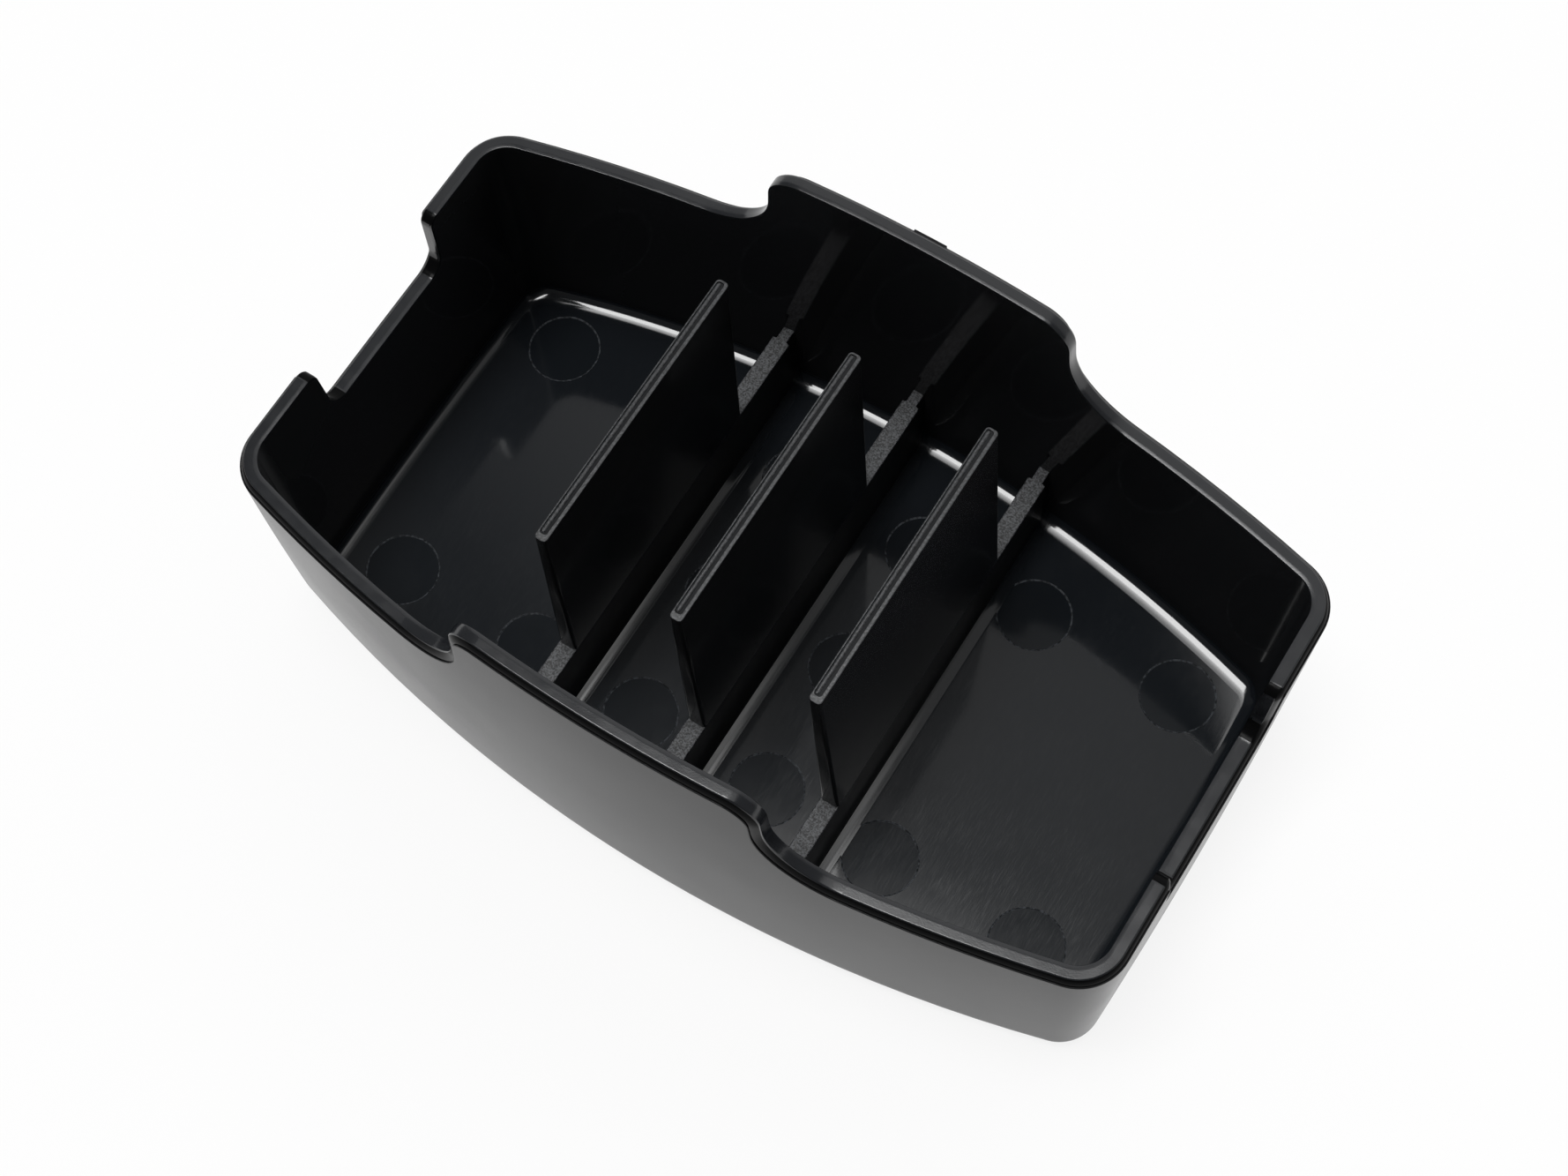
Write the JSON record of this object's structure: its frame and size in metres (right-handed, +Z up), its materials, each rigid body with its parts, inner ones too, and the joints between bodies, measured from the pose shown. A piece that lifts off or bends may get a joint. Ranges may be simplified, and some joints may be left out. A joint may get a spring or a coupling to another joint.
{
  "type": "sachet holder tray",
  "caption": "Open bowed desktop tray with low cross ribs and tall thin fins between compartments, raised middles on its long walls and a finger notch in each end.",
  "frame": {"origin": "middle of the tray's flat underside", "axes": "+X along the tray's length, +Y across it towards the long wall with the small moulding pad, +Z up"},
  "size_m": [0.1482, 0.0894, 0.0655],
  "materials": {
    "tub_plastic": "polished black inside, satin outside and on the rim",
    "rib_plastic": "black, spark-eroded grain on the top, satin sides",
    "fin_plastic": "satin black with a grained top edge"
  },
  "bodies": {
    "root": {"tray_body": "tub_plastic", "rib_left": "rib_plastic", "rib_middle": "rib_plastic", "rib_right": "rib_plastic", "fin_left": "fin_plastic", "fin_middle": "fin_plastic", "fin_right": "fin_plastic"}
  },
  "joints": []
}
